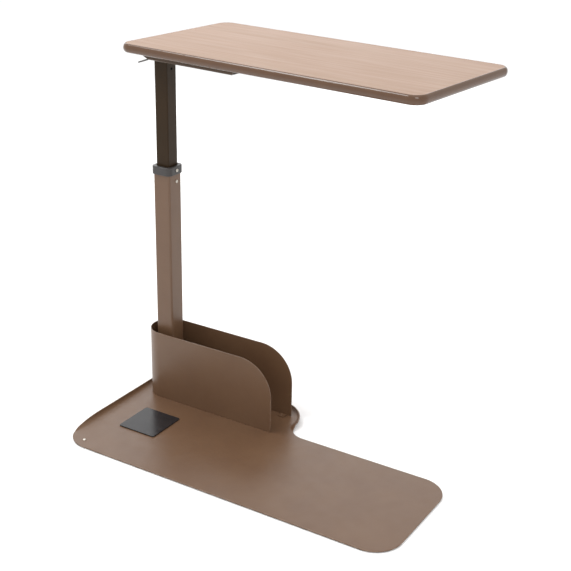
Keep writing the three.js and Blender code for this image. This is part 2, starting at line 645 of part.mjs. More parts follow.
function addTop() {
  const inner = BAND_DEPTH + GAP;
  const middle = (TOP_SURFACE + UNDERSIDE) / 2;
  const screwY = BRACKET.halfWidth + BRACKET.flange / 2;
  const screwPlaces = WOOD_SCREW.places.flatMap((x) => [[x, -screwY], [x, screwY]]);
  const pilots = (z0, z1) => screwPlaces.map(([x, y]) => disc(WOOD_SCREW.shank + GAP, z0, z1, x, y, 12));

  const coreBottom = UNDERSIDE + BACKER + GAP;
  const coreTop = TOP_SURFACE - LAMINATE - GAP;
  const groove = { inset: BAND_DEPTH + BARB.depth + GAP, half: BARB.halfHeight + GAP };
  const core = loft([
    topRing(inner, coreBottom),
    topRing(inner, middle - groove.half),
    topRing(groove.inset, middle - groove.half),
    topRing(groove.inset, middle + groove.half),
    topRing(inner, middle + groove.half),
    topRing(inner, coreTop),
  ]);
  addTo(swivelled, 'top_core', cut(core, ...pilots(UNDERSIDE, WOOD_SCREW.tip + GAP)), chipboard);
  const sheet = (z0, z1) => loft([topRing(inner, z0), topRing(inner, z1)]);
  addTo(swivelled, 'top_laminate', sheet(TOP_SURFACE - LAMINATE, TOP_SURFACE), laminate);
  const backer = sheet(UNDERSIDE, UNDERSIDE + BACKER);
  addTo(swivelled, 'top_backer', cut(backer, ...pilots(UNDERSIDE - 1, UNDERSIDE + 3)), backing);

  const halfThickness = TOP_THICKNESS / 2;
  const nose = [-90, -60, -30, 0, 30, 60, 90].map((angle) =>
    [BAND_DEPTH * (1 - Math.cos(angle * DEGREE)), middle + halfThickness * Math.sin(angle * DEGREE)]);
  const barbTip = BAND_DEPTH + BARB.depth;
  const barb = [
    [BAND_DEPTH, middle + BARB.halfHeight],
    [barbTip, middle + BARB.halfHeight],
    [barbTip, middle - BARB.halfHeight],
    [BAND_DEPTH, middle - BARB.halfHeight],
  ];
  addTo(swivelled, 'edge_band', bandRound([...nose, ...barb]), edging);

  addBracket(screwPlaces);
  screwPlaces.forEach(([x, y], i) => {
    const seat = UNDERSIDE - GAP - BRACKET.sheet - 0.15;
    const { shank, head, height, tip } = WOOD_SCREW;
    const crown = [[0, seat - height], [head - 1.6, seat - 1.9], [head, seat - 0.9], [head, seat]];
    const screw = turned([...crown, [shank, seat], [shank, tip - 3], [0, tip]]).translate(x, y, 0);
    addTo(swivelled, `bracket_screw_${i + 1}`, screw, zinc);
  });
}

// ---------------------------------------------------------------- swivel bracket

function addBracket(screwPlaces) {
  const { left, right, halfWidth, flange, sheet, slant } = BRACKET;
  const top = UNDERSIDE - GAP;
  const section = new THREE.Shape([
    [-halfWidth, WEB_BOTTOM],
    [halfWidth, WEB_BOTTOM],
    [halfWidth, top - sheet],
    [halfWidth + flange, top - sheet],
    [halfWidth + flange, top],
    [halfWidth - sheet, top],
    [halfWidth - sheet, WEB_TOP],
    [sheet - halfWidth, WEB_TOP],
    [sheet - halfWidth, top],
    [-halfWidth - flange, top],
    [-halfWidth - flange, top - sheet],
    [-halfWidth, top - sheet],
  ].map(([y, z]) => new THREE.Vector2(y, z)));
  const { cheek, cheekBottom, web, noseHalf } = BRACKET_END;
  const length = right + slant - cheek;
  const channel = new THREE.ExtrudeGeometry(section, { depth: length, bevelEnabled: false });
  channel.rotateX(90 * DEGREE).rotateZ(90 * DEGREE).translate(cheek, 0, 0);

  const slantTop = UNDERSIDE - 4;
  const side = new THREE.Shape([
    [left, WEB_BOTTOM - 1],
    [right, WEB_BOTTOM - 1],
    [right + slant, slantTop],
    [right + slant, UNDERSIDE + 1],
    [cheek, UNDERSIDE + 1],
    [cheek, cheekBottom],
  ].map(([x, z]) => new THREE.Vector2(x, z)));
  const reach = halfWidth + flange + 1;
  const cutBack = new THREE.Shape([
    [web, WEB_BOTTOM - 1],
    [cheek, cheekBottom],
    [cheek - 1, cheekBottom],
    [cheek - 1, WEB_BOTTOM - 1],
  ].map(([x, z]) => new THREE.Vector2(x, z)));
  const holes = [
    disc(POST.radius + GAP, WEB_BOTTOM - 1, WEB_TOP + 1, 0, 0, 20),
    barY(PIN_RADIUS + GAP, -halfWidth - 1, halfWidth + 1, LEVER.pinX, LEVER.pinZ),
    ...screwPlaces.map(([x, y]) => disc(WOOD_SCREW.shank + 0.4, UNDERSIDE - 5, UNDERSIDE + 1, x, y, 12)),
  ];
  const cutBacks = [sidePrism(cutBack, -reach, -noseHalf), sidePrism(cutBack, noseHalf, reach)];
  const bracket = cut(common(channel, sidePrism(side, -reach, reach)), ...cutBacks, ...holes);
  addTo(swivelled, 'swivel_bracket', bracket, powderCoat);

  const washerTop = WEB_TOP + GAP + 1.2;
  const bore = disc(POST.radius + GAP, WEB_TOP, POST.top, 0, 0, 20);
  addTo(swivelled, 'pivot_washer', cut(disc(13, WEB_TOP + GAP, washerTop, 0, 0, 20), bore), zinc);
  addTo(swivelled, 'pivot_nut', cut(hexagon(12, washerTop + GAP, POST.top - 0.5), bore), zinc);

  const pinHalf = halfWidth + 2;
  const headSeat = halfWidth + 0.2;
  const headRadius = PIN_RADIUS + 1.6;
  const pin = turned([
    [0, -pinHalf],
    [PIN_RADIUS, -pinHalf],
    [PIN_RADIUS, headSeat],
    [headRadius, headSeat],
    [headRadius - 0.4, pinHalf],
    [0, pinHalf],
  ]);
  addTo(swivelled, 'lever_pin', pin.rotateX(-90 * DEGREE).translate(LEVER.pinX, 0, LEVER.pinZ), zinc);
}

// A pressed strip: a flat arm over the mast's axis, a knuckle round the pin, and a handle that slopes down
// past the top's left edge.
function addLever() {
  const { pinX, pinZ, armEnd, halfWidth, sheet, knuckle } = LEVER;
  const armTop = pinZ + knuckle;
  const handleStart = { x: -34, drop: 15.4 };
  const upper = [handleStart, LEVER_BEND, LEVER_TIP].map(({ x, drop }) => [x, pinZ - drop]);
  const lower = upper.map(([x, z]) => [x - 0.8, z - sheet]).reverse();
  const side = new THREE.Shape();
  side.moveTo(armEnd, armTop - sheet);
  side.lineTo(armEnd, armTop);
  side.lineTo(pinX, armTop);
  side.absarc(pinX, pinZ, knuckle, 90 * DEGREE, 200 * DEGREE);
  [...upper, ...lower].forEach(([x, z]) => side.lineTo(x, z));
  side.absarc(pinX, pinZ, knuckle, 225 * DEGREE, 360 * DEGREE);
  side.lineTo(pinX + knuckle, armTop - sheet);
  side.closePath();
  const strip = sidePrism(side, -halfWidth, halfWidth);
  const pinHole = barY(PIN_RADIUS + GAP, -halfWidth - 1, halfWidth + 1, pinX, pinZ);
  addTo(swivelled, 'release_lever', cut(strip, pinHole), darkSteel);
}

addBase();
addPocket();
addOuterMast();
addLockRod();
addInnerMast();
addLock();
addTop();
addLever();

export default table;
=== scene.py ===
"""Looks of the lift-chair overbed table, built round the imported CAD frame.

Sizes are in millimetres and +Z is up. They turn into metres when a mesh is made. The mast's axis is at
x = 0, y = 0, and the top with its bracket and lever is laid out square and then turned by its swivel angle.
"""

import json
import math

import bmesh
import bpy
from mathutils import Matrix, Vector, noise


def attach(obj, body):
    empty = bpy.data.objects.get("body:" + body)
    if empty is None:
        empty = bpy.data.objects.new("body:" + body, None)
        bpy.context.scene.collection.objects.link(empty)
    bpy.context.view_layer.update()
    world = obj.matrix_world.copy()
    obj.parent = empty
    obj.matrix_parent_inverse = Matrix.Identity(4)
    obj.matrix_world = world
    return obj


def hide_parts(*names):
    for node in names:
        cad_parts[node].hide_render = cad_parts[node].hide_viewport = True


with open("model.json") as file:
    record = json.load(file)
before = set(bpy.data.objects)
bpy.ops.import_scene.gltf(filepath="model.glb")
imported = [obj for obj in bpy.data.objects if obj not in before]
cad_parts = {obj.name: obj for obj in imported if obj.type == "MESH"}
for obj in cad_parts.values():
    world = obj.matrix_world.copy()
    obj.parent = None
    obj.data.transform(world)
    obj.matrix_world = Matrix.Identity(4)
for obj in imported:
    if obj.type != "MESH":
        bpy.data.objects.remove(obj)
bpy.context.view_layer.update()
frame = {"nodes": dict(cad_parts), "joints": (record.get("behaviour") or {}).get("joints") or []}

MM = 0.001
JOINTS = {joint["name"]: joint for joint in frame["joints"]}

# ---------------------------------------------------------------- sizes that the frame doesn't state

SHEET = 2.5  # base sheet
SHEET_EDGE = 0.6  # rounding of its cut edge
RIM_RADIUS = 15.5
RIM_ANGLE = math.radians(83)
RIM_RUN_OUT = (40.0, 130.0)  # from the front edge, where the left rim begins and is full
BASE_CORNER = 64.0  # the two right corners
FRONT_CORNER = 65.0
BACK_LEFT_CORNER = 60.0
BACK_CORNER = 91.0
BACK_CORNER_X = 270.0
NARROW_BACK = -29.0
NOTCH_LEFT = 349.0
NOTCH_RADIUS = 48.0
LEG_PAD_CORNER = 5.0
FOOT_PAD_CORNER = 4.0
POCKET_SHEET = 1.5
POCKET_CORNER = 86.0
SHANK = 2.0  # radius of the screws' and rivets' shanks
SCREW_HOLE = 2.3  # radius of the holes for the two side screws
SCREW_HEAD = 2.2  # height of a pan head
PLUG_HOLE = 3.3  # radius of the hole over the plug's set screw
TUBE_WALL = 2.0
OUTER_CORNER = 5.0
INNER_CORNER = 3.0
COLLAR_CORNER = 12.0
TOP_CORNER = 30.0
BAND_DEPTH = 6.0
BARB_DEPTH = 9.0
BARB_HALF = 1.0
BRACKET_SHEET = 2.5
BRACKET_FLANGE = 15.0
BRACKET_SLANT = 16.0
BRACKET_LEFT = -18.0  # left end of its web
CHEEK_RISE = 7.0  # how far the side walls are cut back at their left end, above the web
CHEEK_CUT = -3.0
NOSE_HALF = 20.0
POST_RADIUS = 9.0
LEVER_SHEET = 3.0
LEVER_KNUCKLE = 4.2
LEVER_START = (-34.0, 15.4)  # the handle's upper side: along the top, and how far below the pin
LEVER_BEND = (-44.0, 20.2)
LEVER_TIP = (-76.0, 32.0)
PIN_RADIUS = 2.0
PLAY = 0.3  # between a hole and the pin or post in it

lever_axis = JOINTS["release_lever"]["axis"]
SWIVEL = Matrix.Rotation(-math.atan2(lever_axis[0], lever_axis[1]), 4, "Z")


def span(node, turn=None):
    """The lowest and highest corner of a CAD node in millimetres, in the turned frame if turn is given."""
    back = (turn or Matrix.Identity(4)).inverted()
    points = [back @ vertex.co / MM for vertex in frame["nodes"][node].data.vertices]
    low = Vector([min(p[k] for p in points) for k in range(3)])
    high = Vector([max(p[k] for p in points) for k in range(3)])
    return low, high


def middle_of(node, turn=None):
    """The middle of a CAD node's span in millimetres."""
    low, high = span(node, turn)
    return (low + high) / 2


# ---------------------------------------------------------------- outlines and sections


def smoothstep(x, start, end):
    share = min(max((x - start) / (end - start), 0.0), 1.0)
    return share * share * (3 - 2 * share)


def rounded(points, radius, steps=3):
    """A closed polygon with its corners turned into arcs. radius is one number, or one for each corner."""
    radii = radius if isinstance(radius, (list, tuple)) else [radius] * len(points)
    corners = [Vector(point) for point in points]
    made = []
    for i, corner in enumerate(corners):
        before = (corners[i - 1] - corner).normalized()
        after = (corners[(i + 1) % len(corners)] - corner).normalized()
        half = math.acos(max(-1.0, min(1.0, before.dot(after)))) / 2
        if radii[i] <= 0 or half > math.radians(89.9):
            made.append(corner)
            continue
        reach = radii[i] / math.tan(half)
        centre = corner + (before + after).normalized() * radii[i] / math.sin(half)
        start = corner + before * reach - centre
        end = corner + after * reach - centre
        for k in range(steps + 1):
            share = k / steps
            sweep = math.pi - 2 * half
            blend = (math.sin((1 - share) * sweep) * start + math.sin(share * sweep) * end) / math.sin(sweep)
            made.append(centre + blend)
    return made


def rounded_rectangle(low, high, radius, steps=8, least=0.8):
    """A function that gives the outline at an inset, anticlockwise from above."""

    def outline(inset):
        r = max(radius - inset, least)
        x0, x1 = low[0] + inset + r, high[0] - inset - r
        y0, y1 = low[1] + inset + r, high[1] - inset - r
        points = []
        for x, y, start in ((x1, y0, -90), (x1, y1, 0), (x0, y1, 90), (x0, y0, 180)):
            for k in range(steps + 1):
                angle = math.radians(start + 90 * k / steps)
                points.append((x + r * math.cos(angle), y + r * math.sin(angle)))
        return points

    return outline


def circle(radius, x=0.0, y=0.0, steps=40):
    """A function that gives the circle at an inset, anticlockwise from above."""

    def outline(inset):
        angles = [2 * math.pi * k / steps for k in range(steps)]
        r = radius - inset
        return [(x + r * math.cos(a), y + r * math.sin(a)) for a in angles]

    return outline


def at_height(outline, z):
    return [(x, y, z) for x, y in outline]


# ---------------------------------------------------------------- solids


def solid(rings, loop=False, wear=None):
    """A closed bmesh from rings of equal length. loop joins the last ring to the first, and otherwise both
    ends are capped. wear has a number for each ring: how far the finish there is rubbed, from 0 to 1."""
    bm = bmesh.new()
    layer = bm.verts.layers.float.new("wear")
    made = []
    for k, ring in enumerate(rings):
        vertices = [bm.verts.new(point) for point in ring]
        for vertex in vertices:
            vertex[layer] = wear[k] if wear else 0.0
        made.append(vertices)
    pairs = list(zip(made, made[1:]))
    if loop:
        pairs.append((made[-1], made[0]))
    for lower, upper in pairs:
        for i in range(len(lower)):
            bm.faces.new((lower[i - 1], lower[i], upper[i], upper[i - 1]))
    if not loop:
        bm.faces.new(made[0])
        bm.faces.new(made[-1])
    bmesh.ops.remove_doubles(bm, verts=bm.verts, dist=0.001)
    bmesh.ops.recalc_face_normals(bm, faces=bm.faces)
    return bm


def band(outline, section, wear=None):
    """A closed solid round an outline from a closed section of (inset, z) points."""
    return solid([at_height(outline(inset), z) for inset, z in section], loop=True, wear=wear)


def slab(outline, z0, z1, edge, steps=3):
    """A flat solid with rounded edges, worn a little along them."""
    turns = [math.radians(90 * k / steps) for k in range(steps + 1)]
    lower = [(edge * (1 - math.sin(a)), z0 + edge * (1 - math.cos(a))) for a in turns]
    upper = [(edge * (1 - math.cos(a)), z1 - edge * (1 - math.sin(a))) for a in turns]
    wear = [0.0] + [1.0] * (2 * len(turns) - 2) + [0.0]
    return solid([at_height(outline(inset), z) for inset, z in lower + upper], wear=wear)


def turned(profile, x=0.0, y=0.0, steps=40):
    """A solid turned about a vertical axis from (radius, z) points."""
    return solid([at_height(circle(radius, x, y, steps)(0), z) for radius, z in profile])


def prism(outline, axis, start, end):
    """A solid from a flat outline. Its points hold the two coordinates that the axis leaves, in the order
    x, y, z, and it runs along the axis from start to end."""
    place = {
        "X": lambda a, b, along: (along, a, b),
        "Y": lambda a, b, along: (a, along, b),
        "Z": lambda a, b, along: (a, b, along),
    }[axis]
    return solid([[place(a, b, along) for a, b in outline] for along in (start, end)])


def bar(axis, radius, start, end, across=(0.0, 0.0), steps=32):
    """A round bar along an axis, centred at across in the other two."""
    angles = [2 * math.pi * k / steps for k in range(steps)]
    ring = [(across[0] + radius * math.cos(a), across[1] + radius * math.sin(a)) for a in angles]
    return prism(ring, axis, start, end)


def loose(bm):
    """An unfinished object that holds bm, in millimetres."""
    mesh = bpy.data.meshes.new("loose")
    bm.to_mesh(mesh)
    bm.free()
    made = bpy.data.objects.new("loose", mesh)
    bpy.context.scene.collection.objects.link(made)
    return made


def combined(body, tools, operation="DIFFERENCE"):
    """body with each tool cut away, added or kept in common, as one closed solid."""
    base = loose(body)
    others = [loose(tool) for tool in tools]
    for other in others:
        modifier = base.modifiers.new("combined", "BOOLEAN")
        modifier.operation = operation
        modifier.object = other
        modifier.solver = "EXACT"
    evaluated = base.evaluated_get(bpy.context.evaluated_depsgraph_get())
    made = bmesh.new()
    made.from_mesh(evaluated.to_mesh())
    evaluated.to_mesh_clear()
    for item in [base, *others]:
        bpy.data.objects.remove(item)
    bmesh.ops.remove_doubles(made, verts=made.verts, dist=0.002)
    return made


def piece(name, bm, body, finish, stands_for=(), turn=None, edge=0.0, sharp=35):
    """A finished piece on a CAD body. edge is how far its sharp edges are rounded."""
    bm.transform((turn or Matrix.Identity(4)) @ Matrix.Scale(MM, 4))
    mesh = bpy.data.meshes.new(name)
    bm.to_mesh(mesh)
    bm.free()
    mesh.polygons.foreach_set("use_smooth", [True] * len(mesh.polygons))
    mesh.set_sharp_from_angle(angle=math.radians(sharp))
    mesh.materials.append(finish)
    made = bpy.data.objects.new(name, mesh)
    bpy.context.scene.collection.objects.link(made)
    if edge:
        bevel = made.modifiers.new("edges", "BEVEL")
        bevel.width = edge * MM
        bevel.segments = 2
        bevel.limit_method = "ANGLE"
        bevel.angle_limit = math.radians(sharp)
    normals = made.modifiers.new("normals", "WEIGHTED_NORMAL")
    normals.keep_sharp = True
    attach(made, body)
    if stands_for:
        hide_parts(*stands_for)
    return made


# ---------------------------------------------------------------- materials


def srgb(red, green, blue):
    """A linear colour from 8-bit sRGB values."""
    parts = [c / 255 for c in (red, green, blue)]
    return (*[c / 12.92 if c <= 0.04045 else ((c + 0.055) / 1.055) ** 2.4 for c in parts], 1.0)


class Finish:
    """A material and the few kinds of node that the finishes here are made of."""

    def __init__(self, name, roughness, metallic=0.0, **fixed):
        self.material = bpy.data.materials.new(name)
        self.material.use_nodes = True
        self.tree = self.material.node_tree
        self.shader = self.tree.nodes["Principled BSDF"]
        self.shader.inputs["Roughness"].default_value = roughness
        self.shader.inputs["Metallic"].default_value = metallic
        for socket, value in fixed.items():
            self.shader.inputs[socket.replace("_", " ")].default_value = value
        self.place = self.add("ShaderNodeTexCoord").outputs["Object"]

    def add(self, kind, inputs=None, **settings):
        node = self.tree.nodes.new(kind)
        for key, value in settings.items():
            setattr(node, key, value)
        for key, value in (inputs or {}).items():
            if isinstance(value, bpy.types.NodeSocket):
                self.tree.links.new(value, node.inputs[key])
            else:
                node.inputs[key].default_value = value
        return node

    def to_shader(self, socket, value):
        self.tree.links.new(value, self.shader.inputs[socket])

    def stretched(self, scale, angle=0.0):
        """The place, turned about Z and then scaled along X, Y and Z."""
        turn = self.add("ShaderNodeMapping", {"Vector": self.place, "Rotation": (0.0, 0.0, angle)})
        return self.add("ShaderNodeMapping", {"Vector": turn.outputs[0], "Scale": scale}).outputs[0]

    def noise(self, scale, detail=2.0, roughness=0.5, place=None, distortion=0.0):
        inputs = {
            "Vector": place or self.place,
            "Scale": scale,
            "Detail": detail,
            "Roughness": roughness,
            "Distortion": distortion,
        }
        return self.add("ShaderNodeTexNoise", inputs).outputs["Fac"]

    def ranged(self, value, low, high, to_low=0.0, to_high=1.0):
        inputs = {"Value": value, "From Min": low, "From Max": high, "To Min": to_low, "To Max": to_high}
        return self.add("ShaderNodeMapRange", inputs).outputs["Result"]

    def product(self, a, b):
        return self.add("ShaderNodeMath", {0: a, 1: b}, operation="MULTIPLY").outputs[0]

    def mixed(self, share, a, b):
        node = self.add("ShaderNodeMix", {0: share, 6: a, 7: b}, data_type="RGBA")
        return node.outputs[2]

    def bumped(self, height, distance, strength=1.0, before=None):
        inputs = {"Height": height, "Distance": distance, "Strength": strength}
        if before:
            inputs["Normal"] = before
        return self.add("ShaderNodeBump", inputs).outputs["Normal"]


def powder_coat(name, colour, tint, rubbed, roughness, gloss=0.5):
    """Baked-on powder: a fine orange peel, faint mottling, and the coat rubbed on the edges."""
    made = Finish(name, roughness, Specular_IOR_Level=gloss)
    mottle = made.ranged(made.noise(9.0, 4.0, 0.6), 0.35, 0.65)
    base = made.mixed(mottle, colour, tint)
    wear = made.add("ShaderNodeAttribute", attribute_name="wear").outputs["Fac"]
    patches = made.ranged(made.noise(55.0, 5.0, 0.7), 0.46, 0.62)
    share = made.product(made.product(wear, patches), 0.55)
    made.to_shader("Base Color", made.mixed(share, base, rubbed))
    sheen = made.noise(38.0, 3.0)
    made.to_shader("Roughness", made.ranged(sheen, 0.3, 0.7, roughness - 0.03, roughness + 0.05))
    peel = made.bumped(made.noise(650.0, 2.0), 0.00012, 0.5)
    made.to_shader("Normal", made.bumped(made.noise(2400.0, 1.0), 0.00004, 0.4, peel))
    return made.material


def metal(name, colour, tint, roughness):
    """Plated or plain steel with faint clouding and fine lines."""
    made = Finish(name, roughness, 1.0)
    cloud = made.ranged(made.noise(160.0, 4.0, 0.6), 0.3, 0.7)
    made.to_shader("Base Color", made.mixed(cloud, colour, tint))
    lines = made.noise(300.0, 2.0, place=made.stretched((1.0, 12.0, 12.0)))
    made.to_shader("Roughness", made.ranged(lines, 0.3, 0.7, roughness - 0.05, roughness + 0.1))
    made.to_shader("Normal", made.bumped(lines, 0.00002, 0.3))
    return made.material


def moulded(name, colour, tint, roughness, grain=900.0, depth=0.00005, gloss=0.5):
    """Moulded plastic or rubber with a fine matt grain."""
    made = Finish(name, roughness, Specular_IOR_Level=gloss)
    mottle = made.ranged(made.noise(30.0, 4.0), 0.35, 0.65)
    made.to_shader("Base Color", made.mixed(mottle, colour, tint))
    sheen = made.noise(70.0, 3.0)
    made.to_shader("Roughness", made.ranged(sheen, 0.3, 0.7, roughness - 0.04, roughness + 0.06))
    made.to_shader("Normal", made.bumped(made.noise(grain, 3.0, 0.6), depth, 0.6))
    return made.material


def wood_laminate(name, angle):
    """Printed laminate: straight grain along the top's length, broad soft figure and fine dark pores."""
    made = Finish(name, 0.4, Specular_IOR_Level=0.22)
    figure = made.noise(1.0, 5.0, 0.55, made.stretched((1.1, 17.0, 4.0), angle), 0.35)
    streaks = made.noise(1.0, 4.0, 0.6, made.stretched((5.0, 130.0, 30.0), angle))
    pores = made.noise(1.0, 2.0, 0.5, made.stretched((42.0, 900.0, 200.0), angle))
    pale = srgb(152, 121, 99)
    warm = srgb(146, 115, 92)
    dark = srgb(134, 101, 77)
    broad = made.mixed(made.ranged(figure, 0.36, 0.66), pale, warm)
    lined = made.mixed(made.ranged(streaks, 0.42, 0.75, 0.0, 0.28), broad, dark)
    dotted = made.ranged(pores, 0.62, 0.72, 0.0, 0.18)
    made.to_shader("Base Color", made.mixed(dotted, lined, srgb(108, 79, 60)))
    made.to_shader("Roughness", made.ranged(streaks, 0.3, 0.7, 0.36, 0.46))
    shallow = made.bumped(pores, 0.00003, 0.35)
    made.to_shader("Normal", made.bumped(made.noise(1500.0, 2.0), 0.00002, 0.4, shallow))
    return made.material


def chipboard(name):
    """Pressed chips, lighter and darker, with small voids."""
    made = Finish(name, 0.85)
    chips = made.add("ShaderNodeTexVoronoi", {"Vector": made.stretched((1.0, 1.0, 3.0)), "Scale": 420.0})
    tone = made.ranged(made.noise(260.0, 4.0, 0.7), 0.3, 0.7)
    base = made.mixed(tone, srgb(196, 164, 118), srgb(160, 126, 84))
    gaps = made.ranged(chips.outputs["Distance"], 0.5, 0.9)
    made.to_shader("Base Color", made.mixed(gaps, base, srgb(104, 78, 50)))
    made.to_shader("Normal", made.bumped(chips.outputs["Distance"], 0.0003, 0.8))
    return made.material


FINISHES = {
    "powder_coat": powder_coat(
        "powder coat", srgb(103, 77, 56), srgb(98, 72, 52), srgb(142, 120, 102), 0.35),
    "dark_powder_coat": powder_coat(
        "dark powder coat", srgb(49, 35, 19), srgb(45, 32, 17), srgb(80, 66, 50), 0.36, 0.15),
    "bracket_coat": powder_coat(
        "bracket coat", srgb(74, 57, 42), srgb(70, 53, 39), srgb(110, 92, 76), 0.36, 0.25),
    "grey_plastic": moulded("grey plastic", srgb(57, 54, 53), srgb(52, 49, 48), 0.38),
    "nylon": moulded("nylon", srgb(226, 220, 206), srgb(216, 209, 194), 0.45, 500.0),
    "rubber": moulded("rubber", srgb(36, 34, 36), srgb(32, 31, 33), 0.2, 700.0, 0.00003, 0.3),
    "zinc": metal("zinc plate", srgb(214, 208, 196), srgb(196, 192, 184), 0.28),
    "black_oxide": moulded("black oxide", srgb(12, 11, 10), srgb(10, 9, 8), 0.8, gloss=0.1),
    "dark_steel": metal("dark steel", srgb(84, 80, 76), srgb(70, 67, 64), 0.4),
    "laminate": wood_laminate("wood laminate", math.atan2(lever_axis[0], lever_axis[1])),
    "edging": moulded("edging", srgb(88, 62, 42), srgb(85, 59, 40), 0.13, 400.0, 0.00001),
    "chipboard": chipboard("chipboard"),
    "backing": moulded("backing", srgb(140, 118, 98), srgb(128, 107, 88), 0.55, 300.0),
}


def made_piece(name, bm, body, slot, stands_for, turn=None, edge=0.0, sharp=35):
    return piece(name, bm, body, FINISHES[slot], stands_for, turn, edge, sharp)


# ---------------------------------------------------------------- base


def base_outline(low, high):
    """The base's outline, anticlockwise from above, as (x, y, rise). rise is 1 where the edge is turned up to
    the full rim and 0 where the sheet runs out flat."""
    points = []

    def arc(cx, cy, radius_at, start, end, steps, rise_at):
        for k in range(steps + 1):
            share = k / steps
            angle = math.radians(start + (end - start) * share)
            rise = rise_at(share)
            radius = radius_at(rise)
            points.append((cx + radius * math.cos(angle), cy + radius * math.sin(angle), rise))

    def left_rise(from_front):
        run = (from_front - RIM_RUN_OUT[0]) / (RIM_RUN_OUT[1] - RIM_RUN_OUT[0])
        height = 1 - (1 - min(max(run, 0.0), 1.0)) ** 2
        return math.acos(1 - height * (1 - math.cos(RIM_ANGLE))) / RIM_ANGLE

    corner = BASE_CORNER
    back_y = high.y - BACK_CORNER
    neck_y = NARROW_BACK + NOTCH_RADIUS
    neck_angle = math.asin((neck_y - back_y) / BACK_CORNER)
    flare = BACK_CORNER_X + BACK_CORNER * math.cos(neck_angle) - NOTCH_LEFT
    arc(high.x - corner, low.y + corner, lambda rise: corner, -90, 0, 24, lambda share: 0.0)
    arc(high.x - corner, NARROW_BACK - corner, lambda rise: corner, 0, 90, 24, lambda share: 0.0)
    arc(NOTCH_LEFT + NOTCH_RADIUS, neck_y, lambda rise: NOTCH_RADIUS - flare * rise, 270, 180, 36,
        lambda share: smoothstep(share, 0.35, 1.0))
    past_neck = math.degrees(neck_angle) + 3
    arc(BACK_CORNER_X, back_y, lambda rise: BACK_CORNER, past_neck, 90, 32, lambda share: 1.0)
    arc(low.x + BACK_LEFT_CORNER, high.y - BACK_LEFT_CORNER, lambda rise: BACK_LEFT_CORNER, 90, 180, 28,
        lambda share: 1.0)
    straight_steps = 18
    for k in range(straight_steps):
        from_front = RIM_RUN_OUT[1] + (FRONT_CORNER - RIM_RUN_OUT[1]) * k / straight_steps
        points.append((low.x, low.y + from_front, left_rise(from_front)))
    arc(low.x + FRONT_CORNER, low.y + FRONT_CORNER, lambda rise: FRONT_CORNER, 180, 270, 32,
        lambda share: left_rise(FRONT_CORNER * (1 - math.sin(math.radians(90 * share)))))
    return points


def inward(points):
    """Unit vectors into the sheet at each point of a closed outline that runs anticlockwise. They are evened
    out along it, so that the inset outline doesn't fold back where the edge turns within a short stretch."""
    passes = 12
    found = []
    for i in range(len(points)):
        following = points[(i + 1) % len(points)]
        along = Vector((following[0] - points[i - 1][0], following[1] - points[i - 1][1])).normalized()
        found.append(Vector((-along.y, along.x)))
    for _ in range(passes):
        later = [*found[1:], found[0]]
        earlier = [found[-1], *found[:-1]]
        found = [(a + b + c).normalized() for a, b, c in zip(earlier, found, later)]
    return found


def rim_section(bend):
    """The sheet's section where its edge is turned up by bend, as (inset, height, wear). It starts on the
    underside, goes round the cut edge and comes back over the upper side."""
    steps = 9
    margin = 3.0
    stop = max(bend - SHEET_EDGE / RIM_RADIUS, 0.0)
    angles = [stop * k / steps for k in range(steps + 1)]

    def on_bend(angle, thickness):
        reach = max(RIM_RADIUS * (math.sin(bend) - math.sin(angle)), SHEET_EDGE * math.cos(bend))
        height = RIM_RADIUS * (1 - math.cos(angle))
        return reach + thickness * math.sin(angle), height + thickness * math.cos(angle)

    along = Vector((-math.cos(bend), math.sin(bend)))
    across = Vector((math.sin(bend), math.cos(bend)))
    tip = Vector((0.0, RIM_RADIUS * (1 - math.cos(bend))))
    turns = [math.radians(30 * k) for k in range(4)]
    lower = tip + SHEET_EDGE * across - SHEET_EDGE * along
    upper = tip + (SHEET - SHEET_EDGE) * across - SHEET_EDGE * along
    edge = [lower + SHEET_EDGE * (along * math.sin(a) - across * math.cos(a)) for a in turns]
    edge += [upper + SHEET_EDGE * (along * math.cos(a) + across * math.sin(a)) for a in turns]
    under = [(*on_bend(angle, 0.0), 0.0) for angle in angles]
    over = [(*on_bend(angle, SHEET), 0.0) for angle in reversed(angles)]
    first = (under[0][0] + margin, 0.0, 0.0)
    last = (over[-1][0] + margin, SHEET, 0.0)
    return [first, *under, *[(*point, 1.0) for point in edge], *over, last]


def add_base():
    low, high = span("base_plate")
    outline = base_outline(low, high)
    inwards = inward(outline)
    sections = [rim_section(RIM_ANGLE * rise) for _, _, rise in outline]
    rings = []
    wear = []
    for k in range(len(sections[0])):
        ring = []
        for (x, y, _), direction, section in zip(outline, inwards, sections):
            inset, height, worn = section[k]
            ring.append((x + direction.x * inset, y + direction.y * inset, low.z + height))
        rings.append(ring)
        wear.append(worn)
    made_piece("base_sheet", solid(rings, wear=wear), "base", "powder_coat", ["base_plate"], sharp=50)

    low, high = span("leg_pad")
    pad = slab(rounded_rectangle(low, high, LEG_PAD_CORNER), low.z, high.z, 1.0)
    made_piece("leg_pad_rubber", pad, "base", "rubber", ["leg_pad"])
    low, high = span("mast_foot_pad")
    pad = slab(rounded_rectangle(low, high, FOOT_PAD_CORNER), low.z, high.z, 0.5)
    made_piece("foot_pad_rubber", pad, "base", "rubber", ["mast_foot_pad"])
    for name in [name for name in frame["nodes"] if name.startswith("glide_") and "rivet" not in name]:
        low, high = span(name)
        middle = (low + high) / 2
        radius = (high.x - low.x) / 2
        disc = slab(circle(radius, middle.x, middle.y), low.z, high.z, 0.6)
        made_piece(f"{name}_disc", disc, "base", "nylon", [name])


